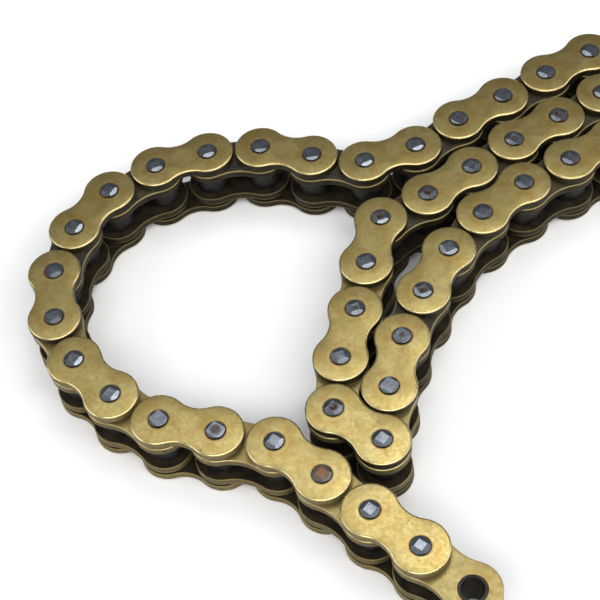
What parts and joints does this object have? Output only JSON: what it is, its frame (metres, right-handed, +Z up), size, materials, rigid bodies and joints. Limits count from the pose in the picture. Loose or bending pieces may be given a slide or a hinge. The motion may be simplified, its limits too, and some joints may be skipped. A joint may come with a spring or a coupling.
{
  "type": "drive chain",
  "caption": "Sealed roller drive chain lying in folded strands, with gold plates, riveted pins, rollers and a hinge at every pin.",
  "frame": {"origin": "centre of the chain's box on the surface it lies on, under the ends of the pins", "axes": "+Z up along the pins, +X along the longer side of the folded chain"},
  "size_m": [0.1964, 0.1784, 0.021],
  "materials": {
    "plate_gold": "worn gold-coloured coating with brown stains and bright worn rims",
    "pin_steel": "dark blue-grey steel, staked ends",
    "bush_steel": "dark greasy steel",
    "seal_rubber": "black greasy rubber"
  },
  "bodies": {
    "inner_link_00": {"inner_link_00": "plate_gold"},
    "outer_link_01": {"outer_link_01": "plate_gold"},
    "inner_link_02": {"inner_link_02": "plate_gold"},
    "rivet_link": {"rivet_link_lower_plate": "plate_gold", "rivet_link_upper_plate": "plate_gold", "rivet_link_first_pin": "pin_steel", "rivet_link_first_lower_seal": "seal_rubber", "rivet_link_first_upper_seal": "seal_rubber", "rivet_link_second_pin": "pin_steel", "rivet_link_second_lower_seal": "seal_rubber", "rivet_link_second_upper_seal": "seal_rubber"},
    "roller_link": {"roller_link_lower_plate": "plate_gold", "roller_link_upper_plate": "plate_gold", "roller_link_first_bush": "bush_steel", "roller_link_second_bush": "bush_steel"},
    "first_roller": {"roller_link_first_roller": "bush_steel"},
    "second_roller": {"roller_link_second_roller": "bush_steel"},
    "outer_link_05": {"outer_link_05": "plate_gold"},
    "inner_link_06": {"inner_link_06": "plate_gold"},
    "outer_link_07": {"outer_link_07": "plate_gold"},
    "inner_link_08": {"inner_link_08": "plate_gold"},
    "outer_link_09": {"outer_link_09": "plate_gold"},
    "inner_link_10": {"inner_link_10": "plate_gold"},
    "outer_link_11": {"outer_link_11": "plate_gold"},
    "inner_link_12": {"inner_link_12": "plate_gold"},
    "outer_link_13": {"outer_link_13": "plate_gold"},
    "inner_link_14": {"inner_link_14": "plate_gold"},
    "outer_link_15": {"outer_link_15": "plate_gold"},
    "inner_link_16": {"inner_link_16": "plate_gold"},
    "outer_link_17": {"outer_link_17": "plate_gold"},
    "inner_link_18": {"inner_link_18": "plate_gold"},
    "outer_link_19": {"outer_link_19": "plate_gold"},
    "inner_link_20": {"inner_link_20": "plate_gold"},
    "outer_link_21": {"outer_link_21": "plate_gold"},
    "inner_link_22": {"inner_link_22": "plate_gold"},
    "outer_link_23": {"outer_link_23": "plate_gold"},
    "inner_link_24": {"inner_link_24": "plate_gold"},
    "outer_link_25": {"outer_link_25": "plate_gold"},
    "inner_link_26": {"inner_link_26": "plate_gold"},
    "outer_link_27": {"outer_link_27": "plate_gold"},
    "inner_link_28": {"inner_link_28": "plate_gold"},
    "outer_link_29": {"outer_link_29": "plate_gold"},
    "inner_link_30": {"inner_link_30": "plate_gold"},
    "outer_link_31": {"outer_link_31": "plate_gold"},
    "inner_link_32": {"inner_link_32": "plate_gold"},
    "outer_link_33": {"outer_link_33": "plate_gold"},
    "inner_link_34": {"inner_link_34": "plate_gold"},
    "outer_link_35": {"outer_link_35": "plate_gold"},
    "inner_link_36": {"inner_link_36": "plate_gold"},
    "outer_link_37": {"outer_link_37": "plate_gold"},
    "inner_link_38": {"inner_link_38": "plate_gold"},
    "outer_link_39": {"outer_link_39": "plate_gold"},
    "inner_link_40": {"inner_link_40": "plate_gold"},
    "outer_link_41": {"outer_link_41": "plate_gold"},
    "inner_link_42": {"inner_link_42": "plate_gold"}
  },
  "joints": [
    {"name": "pin_01", "type": "hinge", "parent": "outer_link_01", "child": "inner_link_00", "pos_m": [-0.00314, -0.07004, 0.01052], "axis": [0, 0, -1], "range_deg": [-50, 50]},
    {"name": "pin_02", "type": "hinge", "parent": "inner_link_02", "child": "outer_link_01", "pos_m": [-0.01377, -0.05824, 0.01052], "axis": [0, 0, 1], "range_deg": [-50, 50]},
    {"name": "pin_03", "type": "hinge", "parent": "rivet_link", "child": "inner_link_02", "pos_m": [-0.02418, -0.04626, 0.01052], "axis": [0, 0, -1], "range_deg": [-14, 50]},
    {"name": "pin_04", "type": "hinge", "parent": "roller_link", "child": "rivet_link", "pos_m": [-0.03501, -0.03465, 0.01052], "axis": [0, 0, 1], "range_deg": [-50, 7]},
    {"name": "pin_05", "type": "hinge", "parent": "outer_link_05", "child": "roller_link", "pos_m": [-0.04973, -0.0287, 0.01052], "axis": [0, 0, -1], "range_deg": [-4, 50]},
    {"name": "pin_06", "type": "hinge", "parent": "inner_link_06", "child": "outer_link_05", "pos_m": [-0.06434, -0.0225, 0.01052], "axis": [0, 0, 1], "range_deg": [-50, 3]},
    {"name": "pin_07", "type": "hinge", "parent": "outer_link_07", "child": "inner_link_06", "pos_m": [-0.0765, -0.0123, 0.01052], "axis": [0, 0, -1], "range_deg": [-2, 50]},
    {"name": "pin_08", "type": "hinge", "parent": "inner_link_08", "child": "outer_link_07", "pos_m": [-0.08583, 0.00055, 0.01052], "axis": [0, 0, 1], "range_deg": [-50, 1]},
    {"name": "pin_09", "type": "hinge", "parent": "outer_link_09", "child": "inner_link_08", "pos_m": [-0.09074, 0.01564, 0.01052], "axis": [0, 0, -1], "range_deg": [-1, 50]},
    {"name": "pin_10", "type": "hinge", "parent": "inner_link_10", "child": "outer_link_09", "pos_m": [-0.09018, 0.03151, 0.01052], "axis": [0, 0, 1], "range_deg": [-50, 1]},
    {"name": "pin_11", "type": "hinge", "parent": "outer_link_11", "child": "inner_link_10", "pos_m": [-0.08373, 0.04601, 0.01052], "axis": [0, 0, -1], "range_deg": [0, 50]},
    {"name": "pin_12", "type": "hinge", "parent": "inner_link_12", "child": "outer_link_11", "pos_m": [-0.0729, 0.05762, 0.01052], "axis": [0, 0, 1], "range_deg": [-50, 0]},
    {"name": "pin_13", "type": "hinge", "parent": "outer_link_13", "child": "inner_link_12", "pos_m": [-0.05851, 0.06433, 0.01052], "axis": [0, 0, -1], "range_deg": [0, 50]},
    {"name": "pin_14", "type": "hinge", "parent": "inner_link_14", "child": "outer_link_13", "pos_m": [-0.04279, 0.06654, 0.01052], "axis": [0, 0, 1], "range_deg": [-50, 0]},
    {"name": "pin_15", "type": "hinge", "parent": "outer_link_15", "child": "inner_link_14", "pos_m": [-0.02698, 0.06516, 0.01052], "axis": [0, 0, -1], "range_deg": [-1, 50]},
    {"name": "pin_16", "type": "hinge", "parent": "inner_link_16", "child": "outer_link_15", "pos_m": [-0.01236, 0.05895, 0.01052], "axis": [0, 0, 1], "range_deg": [-50, 1]},
    {"name": "pin_17", "type": "hinge", "parent": "outer_link_17", "child": "inner_link_16", "pos_m": [0.00255, 0.05353, 0.01052], "axis": [0, 0, -1], "range_deg": [-1, 50]},
    {"name": "pin_18", "type": "hinge", "parent": "inner_link_18", "child": "outer_link_17", "pos_m": [0.01819, 0.05628, 0.01052], "axis": [0, 0, 1], "range_deg": [-50, 1]},
    {"name": "pin_19", "type": "hinge", "parent": "outer_link_19", "child": "inner_link_18", "pos_m": [0.03233, 0.06349, 0.01052], "axis": [0, 0, -1], "range_deg": [-1, 50]},
    {"name": "pin_20", "type": "hinge", "parent": "inner_link_20", "child": "outer_link_19", "pos_m": [0.04695, 0.06969, 0.01052], "axis": [0, 0, 1], "range_deg": [-50, 1]},
    {"name": "pin_21", "type": "hinge", "parent": "outer_link_21", "child": "inner_link_20", "pos_m": [0.06145, 0.07615, 0.01052], "axis": [0, 0, -1], "range_deg": [-2, 50]},
    {"name": "pin_22", "type": "hinge", "parent": "outer_link_21", "child": "inner_link_22", "pos_m": [0.07627, 0.08184, 0.01052], "axis": [0, 0, -1], "range_deg": [-50, 2]},
    {"name": "pin_23", "type": "hinge", "parent": "inner_link_22", "child": "outer_link_23", "pos_m": [0.08943, 0.07296, 0.01052], "axis": [0, 0, 1], "range_deg": [-1, 50]},
    {"name": "pin_24", "type": "hinge", "parent": "outer_link_23", "child": "inner_link_24", "pos_m": [0.07582, 0.06478, 0.01052], "axis": [0, 0, -1], "range_deg": [-16, 2]},
    {"name": "pin_25", "type": "hinge", "parent": "inner_link_24", "child": "outer_link_25", "pos_m": [0.06121, 0.05858, 0.01052], "axis": [0, 0, 1], "range_deg": [-3, 5]},
    {"name": "pin_26", "type": "hinge", "parent": "outer_link_25", "child": "inner_link_26", "pos_m": [0.0466, 0.05238, 0.01052], "axis": [0, 0, -1], "range_deg": [-2, 2]},
    {"name": "pin_27", "type": "hinge", "parent": "inner_link_26", "child": "outer_link_27", "pos_m": [0.03258, 0.04492, 0.01052], "axis": [0, 0, 1], "range_deg": [-2, 1]},
    {"name": "pin_28", "type": "hinge", "parent": "outer_link_27", "child": "inner_link_28", "pos_m": [0.01843, 0.03772, 0.01052], "axis": [0, 0, -1], "range_deg": [0, 2]},
    {"name": "pin_29", "type": "hinge", "parent": "inner_link_28", "child": "outer_link_29", "pos_m": [0.00371, 0.03177, 0.01052], "axis": [0, 0, 1], "range_deg": [-2, 0]},
    {"name": "pin_30", "type": "hinge", "parent": "outer_link_29", "child": "inner_link_30", "pos_m": [-0.00274, 0.01727, 0.01052], "axis": [0, 0, -1], "range_deg": [0, 2]},
    {"name": "pin_31", "type": "hinge", "parent": "inner_link_30", "child": "outer_link_31", "pos_m": [-0.00817, 0.00235, 0.01052], "axis": [0, 0, 1], "range_deg": [-3, 0]},
    {"name": "pin_32", "type": "hinge", "parent": "outer_link_31", "child": "inner_link_32", "pos_m": [-0.01437, -0.01226, 0.01052], "axis": [0, 0, -1], "range_deg": [0, 4]},
    {"name": "pin_33", "type": "hinge", "parent": "inner_link_32", "child": "outer_link_33", "pos_m": [-0.01848, -0.0276, 0.01052], "axis": [0, 0, 1], "range_deg": [-8, 0]},
    {"name": "pin_34", "type": "hinge", "parent": "outer_link_33", "child": "inner_link_34", "pos_m": [-0.00745, -0.03902, 0.01052], "axis": [0, 0, -1], "range_deg": [0, 50]},
    {"name": "pin_35", "type": "hinge", "parent": "inner_link_34", "child": "outer_link_35", "pos_m": [-0.00308, -0.02375, 0.01052], "axis": [0, 0, 1], "range_deg": [-50, 0]},
    {"name": "pin_36", "type": "hinge", "parent": "outer_link_35", "child": "inner_link_36", "pos_m": [0.00287, -0.00904, 0.01052], "axis": [0, 0, -1], "range_deg": [0, 50]},
    {"name": "pin_37", "type": "hinge", "parent": "inner_link_36", "child": "outer_link_37", "pos_m": [0.01104, 0.00457, 0.01052], "axis": [0, 0, 1], "range_deg": [-50, 0]},
    {"name": "pin_38", "type": "hinge", "parent": "outer_link_37", "child": "inner_link_38", "pos_m": [0.0206, 0.01725, 0.01052], "axis": [0, 0, -1], "range_deg": [0, 50]},
    {"name": "pin_39", "type": "hinge", "parent": "inner_link_38", "child": "outer_link_39", "pos_m": [0.0324, 0.02787, 0.01052], "axis": [0, 0, 1], "range_deg": [-50, 1]},
    {"name": "pin_40", "type": "hinge", "parent": "outer_link_39", "child": "inner_link_40", "pos_m": [0.046, 0.03605, 0.01052], "axis": [0, 0, -1], "range_deg": [-2, 50]},
    {"name": "pin_41", "type": "hinge", "parent": "inner_link_40", "child": "outer_link_41", "pos_m": [0.06072, 0.04199, 0.01052], "axis": [0, 0, 1], "range_deg": [-50, 5]},
    {"name": "pin_42", "type": "hinge", "parent": "outer_link_41", "child": "inner_link_42", "pos_m": [0.07564, 0.04743, 0.01052], "axis": [0, 0, -1], "range_deg": [-13, 50]},
    {"name": "first_roller_turn", "type": "hinge", "parent": "roller_link", "child": "first_roller", "pos_m": [-0.03501, -0.03465, 0.01052], "axis": [0, 0, 1], "continuous": true},
    {"name": "second_roller_turn", "type": "hinge", "parent": "roller_link", "child": "second_roller", "pos_m": [-0.04973, -0.0287, 0.01052], "axis": [0, 0, 1], "continuous": true}
  ]
}
